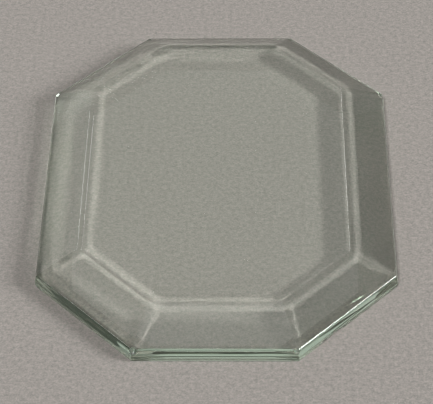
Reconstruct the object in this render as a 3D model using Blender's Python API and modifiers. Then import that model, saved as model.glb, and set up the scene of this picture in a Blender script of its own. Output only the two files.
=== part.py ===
"""A bevelled octagonal glass plate.

One slab of clear plate glass, sawn to a rectangle with its four corners cut off, then ground and
polished: a wide bevel runs down from the flat top to a thin upright edge on all eight sides, and
every sharp outer edge has a small seamed arris. The plate is one solid piece, and nothing on it moves.

Frame: origin at the centre of the flat underside, +Z up out of the bevelled top, +Y along the length.
All sizes are in metres.
"""

import math

import bmesh
import bpy
from mathutils import Matrix

# Driving dimensions
INCH = 0.0254
WIDTH = 3 * INCH
LENGTH = 4 * INCH
THICKNESS = 5 / 16 * INCH
BEVEL_WIDTH = 0.0091
EDGE_HEIGHT = 0.0034
CORNER_CUT = 0.0210
ARRIS = 0.0004
ARRIS_SEGMENTS = 2

# Derived dimensions
BEVEL_DROP = THICKNESS - EDGE_HEIGHT
ARRIS_MIN_ANGLE = math.radians(30)

# Colour and finish of the glass, with the faint green of ordinary soda-lime plate
GLASS_COLOR = (0.86, 0.93, 0.89, 1.0)
GLASS_ROUGHNESS = 0.02
GLASS_IOR = 1.52

COLLECTION = "bevelled_glass_plate"
PARALLEL = 0.99  # smallest cosine that counts as along an axis


def clear_scene():
    for existing in list(bpy.data.objects):
        bpy.data.objects.remove(existing, do_unlink=True)


def make_collection(name):
    collection = bpy.data.collections.new(name)
    bpy.context.scene.collection.children.link(collection)
    return collection


def glass_material():
    material = bpy.data.materials.new("clear_glass")
    material.use_nodes = True
    shader = material.node_tree.nodes["Principled BSDF"]
    shader.inputs["Base Color"].default_value = GLASS_COLOR
    shader.inputs["Roughness"].default_value = GLASS_ROUGHNESS
    shader.inputs["Metallic"].default_value = 0.0
    shader.inputs["IOR"].default_value = GLASS_IOR
    shader.inputs["Transmission Weight"].default_value = 1.0
    return material


def is_upright(edge):
    """True for an edge that stands along Z."""
    start, end = (vert.co for vert in edge.verts)
    return abs((end - start).normalized().z) > PARALLEL


def add_rectangular_blank(bm):
    """The sawn blank, as high as the finished edge, standing on the XY plane."""
    size = Matrix.Diagonal((WIDTH, LENGTH, EDGE_HEIGHT, 1))
    lift = Matrix.Translation((0, 0, EDGE_HEIGHT / 2))
    bmesh.ops.create_cube(bm, size=1, matrix=lift @ size)


def cut_corners(bm):
    """Turns the four upright corners into flat 45 degree faces, which makes the outline an octagon."""
    corners = [edge for edge in bm.edges if is_upright(edge)]
    bmesh.ops.bevel(bm, geom=corners, offset=CORNER_CUT, segments=1, affect="EDGES")


def raise_bevelled_top(bm):
    """Insets the top face by the bevel's width and lifts it, so that eight bevels slope down to the edge."""
    bm.normal_update()
    top = [face for face in bm.faces if face.normal.z > PARALLEL]
    bmesh.ops.inset_region(
        bm, faces=top, thickness=BEVEL_WIDTH, depth=0, use_even_offset=True
    )
    flat = {vert for face in top for vert in face.verts}
    bmesh.ops.translate(bm, verts=list(flat), vec=(0, 0, BEVEL_DROP))


def seam_outer_edges(plate):
    """Takes the sharpness off the edges at the rim. The polished ridges of the bevels stay crisp."""
    arris = plate.modifiers.new("seamed_arris", "BEVEL")
    arris.width = ARRIS
    arris.segments = ARRIS_SEGMENTS
    arris.limit_method = "ANGLE"
    arris.angle_limit = ARRIS_MIN_ANGLE


def make_plate(collection):
    bm = bmesh.new()
    add_rectangular_blank(bm)
    cut_corners(bm)
    raise_bevelled_top(bm)
    bmesh.ops.recalc_face_normals(bm, faces=bm.faces[:])
    mesh = bpy.data.meshes.new("bevelled_plate")
    bm.to_mesh(mesh)
    bm.free()
    plate = bpy.data.objects.new("bevelled_plate", mesh)
    collection.objects.link(plate)
    plate.data.materials.append(glass_material())
    seam_outer_edges(plate)
    return plate


def main():
    clear_scene()
    make_plate(make_collection(COLLECTION))


main()
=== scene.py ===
"""Looks of the bevelled glass plate: one solid octagonal blank of clear plate glass.

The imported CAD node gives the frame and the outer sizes. The shown piece is a finer closed solid of the
same shape, with softened ridges, rounded mitre lines, crowned upright edges and the small chips of a
used blank. The bevels' widths differ a little from side to side, as hand-ground ones do, and the whole
piece stays inside the CAD solid's box.

Frame: origin at the centre of the flat underside, +Z up, +Y along the length. Lengths are in metres.
"""

import math

import bmesh
import bpy
from mathutils import Matrix, Vector, noise


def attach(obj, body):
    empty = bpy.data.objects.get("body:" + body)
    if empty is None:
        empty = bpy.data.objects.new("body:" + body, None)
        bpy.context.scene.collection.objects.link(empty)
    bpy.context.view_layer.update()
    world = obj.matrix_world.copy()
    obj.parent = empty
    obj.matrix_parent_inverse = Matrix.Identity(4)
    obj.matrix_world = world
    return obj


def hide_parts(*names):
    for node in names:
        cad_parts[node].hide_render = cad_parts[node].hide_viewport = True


MM = 0.001
INCH = 25.4 * MM

# The plate, as the CAD has it
WIDTH = 3 * INCH
LENGTH = 4 * INCH
THICKNESS = 5 / 16 * INCH
BEVEL_WIDTH = 9.1 * MM
EDGE_HEIGHT = 3.4 * MM
CORNER_CUT = 21.0 * MM
SIDE_COUNT = 8
SIDE_TURN = math.tau / SIDE_COUNT

# The hand-ground bevels' widths as shares of BEVEL_WIDTH, anticlockwise from the right side
BEVEL_SHARES = (1.10, 1.0, 0.93, 1.0, 1.0, 1.02, 1.05, 1.02)

# Softening of its edges
TOP_ARRIS = 0.75 * MM
BOTTOM_ARRIS = 0.40 * MM
ARRIS_STEPS = 6
EDGE_BULGE = 0.25 * MM
EDGE_STEPS = 10
RIDGE_RADIUS = 0.8 * MM
RIDGE_STEPS = 5
EDGE_CORNER_RADIUS = 0.5 * MM
MITRE_RADIUS = 0.15 * MM
CORNER_STEPS = 5
SHARP_ANGLE = math.radians(24)
LARGE_FACE_WEIGHT = 100

# Chips, each as (side, share of the way along it, height, radius of the shell, depth of the bite)
CHIPS = (
    (7, 0.27, 0.30 * MM, 1.6 * MM, 0.90 * MM),
    (7, 0.33, 0.80 * MM, 1.2 * MM, 0.85 * MM),
    (7, 0.39, 0.30 * MM, 1.8 * MM, 0.95 * MM),
    (7, 0.45, 0.20 * MM, 1.0 * MM, 0.60 * MM),
    (6, 0.015, 3.2 * MM, 1.2 * MM, 0.80 * MM),
    (6, 0.985, 3.2 * MM, 0.9 * MM, 0.50 * MM),
    (1, 0.88, 3.3 * MM, 0.7 * MM, 0.25 * MM),
    (5, 0.30, 0.20 * MM, 1.0 * MM, 0.30 * MM),
)
CHIP_DETAIL = 4
CHIP_TILT = math.radians(35)
CHIP_RIPPLE_SPACING = 0.10 * MM
CHIP_RIPPLE_SHARE = 0.012
CHIP_WANDER_SIZE = 0.5 * MM
CHIP_WANDER_SHARE = 0.05
CHIP_ROUGHNESS = 0.30

# The glass, with ground waviness, fine scratches and specks of wear
GLASS_COLOR = (0.965, 0.98, 0.958, 1)
GLASS_BODY_COLOR = (0.70, 0.90, 0.70, 1)
GLASS_BODY_DENSITY = 6.0
GLASS_IOR = 1.52
WAVE_SCALE = 90
WAVE_DETAIL = 1.0
WAVE_HEIGHT = 0.004 * MM
SCRATCH_SCALE = 22
SCRATCH_DETAIL = 1.0
SCRATCH_STRETCH = 45
SCRATCH_ANGLE = math.radians(28)
SCRATCH_LIMITS = (0.735, 0.76)
SCRATCH_ROUGHNESS = 0.10
SPECK_SCALE = 420
SPECK_DETAIL = 0.0
SPECK_LIMITS = (0.80, 0.84)
SPECK_ROUGHNESS = 0.25

# The floor
FLOOR_SIZE = 12
FLOOR_GAP = 0.1 * MM
FLOOR_WARM = (0.350, 0.315, 0.294, 1)
FLOOR_COOL = (0.230, 0.219, 0.204, 1)
FLOOR_ROUGHNESS = 0.9
FLOOR_SPECULAR = 0.1
MOTTLE_SCALE = 1000
MOTTLE_DETAIL = 3.0
MOTTLE_LIMITS = (0.7, 1.3)
GRAIN_SCALE = 2200
GRAIN_DETAIL = 2.0
GRAIN_HEIGHT = 0.05 * MM

# Camera, from the same fit that gave the plate's proportions
SENSOR_WIDTH = 36.0
FOCAL_LENGTH = 158.8
CAMERA_DISTANCE = 5.528 * WIDTH
CAMERA_TARGET = Vector((-0.0032 * WIDTH, -0.0413 * WIDTH, 0))
CAMERA_PITCH = math.radians(43.11)
CAMERA_YAW = math.radians(-1.24)
CAMERA_ROLL = math.radians(-0.85)
CAMERA_NEAR = 0.01
CAMERA_FAR = 20

# Distant soft lights: name, azimuth clockwise from +Y, elevation, angular diameter (degrees), strength
LAMPS = (
    ("front_light", 199, 50, 12, 2.35),
    ("window_light", 106, 27, 24, 3.0),
    ("window_glint", 94, 42, 10, 0.15),
    ("left_light", 264, 40, 12, 0.1),
    ("back_light", 12, 41, 6, 0.05),
)

# The room, seen only in reflections and low views: as bright as the floor at the horizon, a pale wall
# behind the plate that stops short of the right, a pale patch straight overhead, and dark elsewhere
HORIZON_COLOR = (0.350, 0.328, 0.305, 1)
WALL_COLOR = (0.46, 0.48, 0.45, 1)
SHADE_COLOR = (0.05, 0.06, 0.05, 1)
CEILING_COLOR = (0.38, 0.38, 0.38, 1)

# Where each of them fades in or out, as spans along one axis of the unit direction of view
HORIZON_BAND = (0.03, 0.20)
WALL_FRONT = (0.45, 0.65)
WALL_RIGHT = (0.12, 0.26)
WALL_TOP = (0.71, 0.78)
OVERHEAD = (0.93, 0.97)


def octagon_sides():
    """Each side's outward direction in plan and its distance from the centre, anticlockwise from +X."""
    slant = (WIDTH / 2 + LENGTH / 2 - CORNER_CUT) / math.sqrt(2)
    distances = (WIDTH / 2, slant, LENGTH / 2, slant) * 2
    sides = []
    for number, distance in enumerate(distances):
        angle = number * SIDE_TURN
        sides.append((Vector((math.cos(angle), math.sin(angle))), distance))
    return sides


def line_crossing(first, second):
    """The point in plan where two sides, as (direction, distance), meet."""
    (a, p), (b, q) = first, second
    cross = a.x * b.y - a.y * b.x
    return Vector(((p * b.y - q * a.y) / cross, (q * a.x - p * b.x) / cross))


def outline(inset, corner_radius):
    """The octagon moved inwards by inset times each side's share, its corners rounded to corner_radius."""
    sides = []
    for share, (direction, distance) in zip(BEVEL_SHARES, octagon_sides()):
        sides.append((direction, distance - inset * share))
    points = []
    for number in range(SIDE_COUNT):
        first, second = sides[number], sides[(number + 1) % SIDE_COUNT]
        inner = line_crossing(
            (first[0], first[1] - corner_radius), (second[0], second[1] - corner_radius)
        )
        for step in range(CORNER_STEPS + 1):
            angle = (number + step / CORNER_STEPS) * SIDE_TURN
            points.append(inner + corner_radius * Vector((math.cos(angle), math.sin(angle))))
    return points


def lower_arris():
    """Rings round the quarter arc from the underside up to the edge."""
    rings = []
    for step in range(ARRIS_STEPS + 1):
        turn = step / ARRIS_STEPS * math.pi / 2
        inset = BOTTOM_ARRIS * (1 - math.sin(turn)) + EDGE_BULGE
        rings.append((inset, BOTTOM_ARRIS * (1 - math.cos(turn)), EDGE_CORNER_RADIUS))
    return rings


def crowned_edge():
    """Rings up the upright edge, which swells by EDGE_BULGE at its middle."""
    low, high = BOTTOM_ARRIS, EDGE_HEIGHT - TOP_ARRIS
    rings = []
    for step in range(1, EDGE_STEPS):
        share = step / EDGE_STEPS
        inset = EDGE_BULGE * (1 - 4 * share * (1 - share))
        rings.append((inset, low + share * (high - low), EDGE_CORNER_RADIUS))
    return rings


def rounded_corner(corner, slope_in, slope_out, radius, steps):
    """Rings along an arc over a convex corner of the profile, as its slope falls to slope_out."""
    reach = radius * math.tan((slope_in - slope_out) / 2)
    start = (corner[0] - reach * math.cos(slope_in), corner[1] - reach * math.sin(slope_in))
    centre = (start[0] + radius * math.sin(slope_in), start[1] - radius * math.cos(slope_in))
    rings = []
    for step in range(steps + 1):
        slope = slope_in + step / steps * (slope_out - slope_in)
        inset = centre[0] - radius * math.sin(slope)
        rings.append((inset, centre[1] + radius * math.cos(slope), MITRE_RADIUS))
    return rings


def edge_profile():
    """(inset, height, corner radius) of each ring, from the underside round the rim to the flat top."""
    slope = math.atan2(THICKNESS - EDGE_HEIGHT, BEVEL_WIDTH)
    rim = (EDGE_BULGE, EDGE_HEIGHT + EDGE_BULGE * math.tan(slope))
    ridge = (BEVEL_WIDTH, THICKNESS)
    rings = lower_arris() + crowned_edge()
    rings += rounded_corner(rim, math.pi / 2, slope, TOP_ARRIS, ARRIS_STEPS)
    rings += rounded_corner(ridge, slope, 0, RIDGE_RADIUS, RIDGE_STEPS)
    return rings


def plate_mesh():
    """Lofts the rings of the profile round the octagon and closes them with the flat top and underside."""
    bm = bmesh.new()
    loops = []
    for inset, height, corner_radius in edge_profile():
        loops.append([bm.verts.new((*point, height)) for point in outline(inset, corner_radius)])
    for lower, upper in zip(loops, loops[1:]):
        for number in range(len(lower)):
            after = (number + 1) % len(lower)
            bm.faces.new((lower[number], lower[after], upper[after], upper[number]))
    bm.faces.new(reversed(loops[0]))
    bm.faces.new(loops[-1])
    bmesh.ops.recalc_face_normals(bm, faces=bm.faces[:])
    mesh = bpy.data.meshes.new("glass_plate")
    bm.to_mesh(mesh)
    bm.free()
    return mesh


def chip_centre(side, share, height, reach):
    """The centre of a chip's shell: reach away from the rim, below it at the foot and above it at the top."""
    sides = octagon_sides()
    start = line_crossing(sides[side - 1], sides[side])
    end = line_crossing(sides[side], sides[(side + 1) % SIDE_COUNT])
    outward = sides[side][0]
    upward = -1 if height < EDGE_HEIGHT / 2 else 1
    plan = start.lerp(end, share) + outward * reach * math.cos(CHIP_TILT)
    centre = Vector((*plan, height))
    centre.z += upward * reach * math.sin(CHIP_TILT)
    return centre


def chip_cutter(number, side, share, height, radius, depth):
    """A rippled shell whose near side bites into the rim the way a conchoidal chip does."""
    centre = chip_centre(side, share, height, radius - depth)
    bm = bmesh.new()
    bmesh.ops.create_icosphere(bm, subdivisions=CHIP_DETAIL, radius=radius)
    for vert in bm.verts:
        ripple = math.sin((vert.co.z + vert.co.x) / CHIP_RIPPLE_SPACING)
        wander = noise.noise(vert.co / CHIP_WANDER_SIZE + Vector((number, 0, 0)))
        vert.co *= 1 + CHIP_RIPPLE_SHARE * ripple + CHIP_WANDER_SHARE * wander
        vert.co += centre
    mesh = bpy.data.meshes.new("chip")
    bm.to_mesh(mesh)
    bm.free()
    cutter = bpy.data.objects.new("chip", mesh)
    bpy.context.scene.collection.objects.link(cutter)
    return cutter


def noise_texture(nodes, links, coordinates, scale, detail):
    texture = nodes.new("ShaderNodeTexNoise")
    texture.inputs["Scale"].default_value = scale
    texture.inputs["Detail"].default_value = detail
    links.new(coordinates, texture.inputs["Vector"])
    return texture.outputs["Fac"]


def map_range(nodes, links, value, source, target):
    """Maps a value from one span to another, held at the ends of the target."""
    mapped = nodes.new("ShaderNodeMapRange")
    mapped.inputs["From Min"].default_value, mapped.inputs["From Max"].default_value = source
    mapped.inputs["To Min"].default_value, mapped.inputs["To Max"].default_value = target
    links.new(value, mapped.inputs["Value"])
    return mapped.outputs["Result"]


def combine(nodes, links, operation, first, second):
    math_node = nodes.new("ShaderNodeMath")
    math_node.operation = operation
    links.new(first, math_node.inputs[0])
    links.new(second, math_node.inputs[1])
    return math_node.outputs["Value"]


def mix_colors(nodes, links, factor, first, second):
    """Blends from the first colour to the second. Each is a fixed colour or a node's output."""
    blend = nodes.new("ShaderNodeMix")
    blend.data_type = "RGBA"
    links.new(factor, blend.inputs["Factor"])
    for name, color in (("A", first), ("B", second)):
        if isinstance(color, tuple):
            blend.inputs[name].default_value = color
        else:
            links.new(color, blend.inputs[name])
    return blend.outputs["Result"]


def bump(nodes, links, height, distance):
    node = nodes.new("ShaderNodeBump")
    node.inputs["Strength"].default_value = 1.0
    node.inputs["Distance"].default_value = distance
    links.new(height, node.inputs["Height"])
    return node.outputs["Normal"]


def worn_roughness(nodes, links, place, roughness):
    """The finish's own roughness, with rougher straight scratches and specks on it."""
    turn = nodes.new("ShaderNodeMapping")
    turn.inputs["Rotation"].default_value = (0, 0, SCRATCH_ANGLE)
    turn.inputs["Scale"].default_value = (1, SCRATCH_STRETCH, 1)
    links.new(place, turn.inputs["Vector"])
    streaks = noise_texture(nodes, links, turn.outputs["Vector"], SCRATCH_SCALE, SCRATCH_DETAIL)
    scratches = map_range(nodes, links, streaks, SCRATCH_LIMITS, (0, SCRATCH_ROUGHNESS))
    grains = noise_texture(nodes, links, place, SPECK_SCALE, SPECK_DETAIL)
    specks = map_range(nodes, links, grains, SPECK_LIMITS, (roughness, SPECK_ROUGHNESS))
    return combine(nodes, links, "ADD", scratches, specks)


def clear_glass(name, roughness):
    """Clear soda-lime plate glass, faintly green along a long path, with ground waviness and light wear."""
    material = bpy.data.materials.new(name)
    material.use_nodes = True
    nodes = material.node_tree.nodes
    links = material.node_tree.links
    shader = nodes["Principled BSDF"]
    shader.inputs["Base Color"].default_value = GLASS_COLOR
    shader.inputs["IOR"].default_value = GLASS_IOR
    shader.inputs["Transmission Weight"].default_value = 1.0
    place = nodes.new("ShaderNodeTexCoord").outputs["Object"]
    links.new(worn_roughness(nodes, links, place, roughness), shader.inputs["Roughness"])
    waves = noise_texture(nodes, links, place, WAVE_SCALE, WAVE_DETAIL)
    links.new(bump(nodes, links, waves, WAVE_HEIGHT), shader.inputs["Normal"])
    body = nodes.new("ShaderNodeVolumeAbsorption")
    body.inputs["Color"].default_value = GLASS_BODY_COLOR
    body.inputs["Density"].default_value = GLASS_BODY_DENSITY
    links.new(body.outputs["Volume"], nodes["Material Output"].inputs["Volume"])
    return material


def cut_chips(plate):
    """Cuts the chips out of the plate for good, and gives their faces a rougher finish."""
    finish = clear_glass("fractured_glass", CHIP_ROUGHNESS)
    cutters = []
    for number, chip in enumerate(CHIPS):
        cutter = chip_cutter(number, *chip)
        cutter.data.materials.append(finish)
        cut = plate.modifiers.new("chip", "BOOLEAN")
        cut.operation = "DIFFERENCE"
        cut.material_mode = "TRANSFER"
        cut.object = cutter
        cutters.append(cutter)
    bpy.context.view_layer.update()
    evaluated = plate.evaluated_get(bpy.context.evaluated_depsgraph_get())
    chipped = bpy.data.meshes.new_from_object(evaluated)
    plate.modifiers.clear()
    plate.data = chipped
    for cutter in cutters:
        bpy.data.objects.remove(cutter, do_unlink=True)


def smooth_shading(plate):
    """Shades the rounded edges smoothly and keeps the large faces flat and the chips' rims sharp."""
    plate.data.shade_smooth()
    plate.data.set_sharp_from_angle(angle=SHARP_ANGLE)
    normals = plate.modifiers.new("flat_faces_stay_flat", "WEIGHTED_NORMAL")
    normals.mode = "FACE_AREA"
    normals.weight = LARGE_FACE_WEIGHT
    normals.keep_sharp = True


def make_plate():
    plate = bpy.data.objects.new("glass_plate", plate_mesh())
    bpy.context.scene.collection.objects.link(plate)
    plate.data.materials.append(clear_glass("clear_glass", 0.0))
    cut_chips(plate)
    smooth_shading(plate)
    return plate


def floor_material():
    """Matt warm grey, mottled between two greys, with a fine grain."""
    material = bpy.data.materials.new("floor")
    material.use_nodes = True
    nodes = material.node_tree.nodes
    links = material.node_tree.links
    shader = nodes["Principled BSDF"]
    shader.inputs["Roughness"].default_value = FLOOR_ROUGHNESS
    shader.inputs["Specular IOR Level"].default_value = FLOOR_SPECULAR
    place = nodes.new("ShaderNodeTexCoord").outputs["Object"]
    mottle = noise_texture(nodes, links, place, MOTTLE_SCALE, MOTTLE_DETAIL)
    grain = noise_texture(nodes, links, place, GRAIN_SCALE, GRAIN_DETAIL)
    both = combine(nodes, links, "ADD", mottle, grain)
    share = map_range(nodes, links, both, MOTTLE_LIMITS, (0, 1))
    links.new(mix_colors(nodes, links, share, FLOOR_COOL, FLOOR_WARM), shader.inputs["Base Color"])
    links.new(bump(nodes, links, grain, GRAIN_HEIGHT), shader.inputs["Normal"])
    return material


def make_floor():
    """A large plain surface just under the plate."""
    bpy.ops.mesh.primitive_plane_add(size=FLOOR_SIZE, location=(0, 0, -FLOOR_GAP))
    floor = bpy.context.object
    floor.name = "floor"
    floor.data.materials.append(floor_material())
    return floor


def direction(azimuth, elevation):
    """The unit vector towards a compass azimuth, clockwise from +Y, and an elevation."""
    flat = math.cos(elevation)
    return Vector((math.sin(azimuth) * flat, math.cos(azimuth) * flat, math.sin(elevation)))


def add_lamp(name, azimuth, elevation, spread, strength):
    """A distant round soft light. Angles are in degrees, and spread is its angular diameter."""
    data = bpy.data.lights.new(name, "SUN")
    data.angle = math.radians(spread)
    data.energy = strength
    lamp = bpy.data.objects.new(name, data)
    towards = direction(math.radians(azimuth), math.radians(elevation))
    lamp.rotation_euler = towards.to_track_quat("Z", "Y").to_euler()
    bpy.context.scene.collection.objects.link(lamp)


def make_room():
    """The room's colours round the scene, which tint what the glass reflects."""
    world = bpy.data.worlds.new("room")
    world.use_nodes = True
    nodes = world.node_tree.nodes
    links = world.node_tree.links
    axes = nodes.new("ShaderNodeSeparateXYZ")
    links.new(nodes.new("ShaderNodeTexCoord").outputs["Generated"], axes.inputs["Vector"])
    behind = map_range(nodes, links, axes.outputs["Y"], WALL_FRONT, (0, 1))
    leftward = map_range(nodes, links, axes.outputs["X"], WALL_RIGHT, (1, 0))
    low = map_range(nodes, links, axes.outputs["Z"], WALL_TOP, (1, 0))
    stretch = combine(nodes, links, "MULTIPLY", behind, leftward)
    wall = combine(nodes, links, "MULTIPLY", stretch, low)
    walls = mix_colors(nodes, links, wall, SHADE_COLOR, WALL_COLOR)
    overhead = map_range(nodes, links, axes.outputs["Z"], OVERHEAD, (0, 1))
    room = mix_colors(nodes, links, overhead, walls, CEILING_COLOR)
    rise = map_range(nodes, links, axes.outputs["Z"], HORIZON_BAND, (0, 1))
    color = mix_colors(nodes, links, rise, HORIZON_COLOR, room)
    links.new(color, nodes["Background"].inputs["Color"])
    bpy.context.scene.world = world


def light_scene():
    for lamp in LAMPS:
        add_lamp(*lamp)
    make_room()


def add_camera():
    """Aims the camera at CAMERA_TARGET: yaw and pitch turn its view from +Y, and roll tips it."""
    cos_pitch, sin_pitch = math.cos(CAMERA_PITCH), math.sin(CAMERA_PITCH)
    cos_yaw, sin_yaw = math.cos(CAMERA_YAW), math.sin(CAMERA_YAW)
    forward = Vector((sin_yaw * cos_pitch, cos_yaw * cos_pitch, -sin_pitch))
    level_right = Vector((cos_yaw, -sin_yaw, 0))
    level_up = level_right.cross(forward)
    right = math.cos(CAMERA_ROLL) * level_right + math.sin(CAMERA_ROLL) * level_up
    up = right.cross(forward)
    data = bpy.data.cameras.new("camera")
    data.sensor_width = SENSOR_WIDTH
    data.lens = FOCAL_LENGTH
    data.clip_start = CAMERA_NEAR
    data.clip_end = CAMERA_FAR
    camera = bpy.data.objects.new("camera", data)
    turn = Matrix((right, up, -forward)).transposed()
    camera.matrix_world = Matrix.Translation(CAMERA_TARGET - forward * CAMERA_DISTANCE) @ turn.to_4x4()
    bpy.context.scene.collection.objects.link(camera)
    bpy.context.scene.camera = camera


def set_light_paths():
    """Lets light through the glass onto the floor, which makes the bright bands under the bevels."""
    cycles = bpy.context.scene.cycles
    cycles.max_bounces = 24
    cycles.min_light_bounces = 8
    cycles.transmission_bounces = 24
    cycles.glossy_bounces = 16
    cycles.diffuse_bounces = 3
    cycles.caustics_refractive = True
    cycles.caustics_reflective = True
    cycles.blur_glossy = 0.0
    cycles.sample_clamp_indirect = 10.0
    cycles.filter_width = 1.1
    cycles.use_denoising = True
    cycles.use_guiding = True
    bpy.context.scene.view_settings.view_transform = "Standard"


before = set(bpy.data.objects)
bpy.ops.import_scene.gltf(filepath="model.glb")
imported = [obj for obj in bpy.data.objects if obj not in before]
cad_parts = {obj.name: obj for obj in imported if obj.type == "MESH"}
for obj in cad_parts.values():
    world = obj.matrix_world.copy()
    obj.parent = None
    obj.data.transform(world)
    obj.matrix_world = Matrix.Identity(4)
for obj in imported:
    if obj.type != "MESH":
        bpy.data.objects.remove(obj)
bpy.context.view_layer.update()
plate = make_plate()
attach(plate, "root")
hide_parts("bevelled_plate")
make_floor()
light_scene()
add_camera()
set_light_paths()
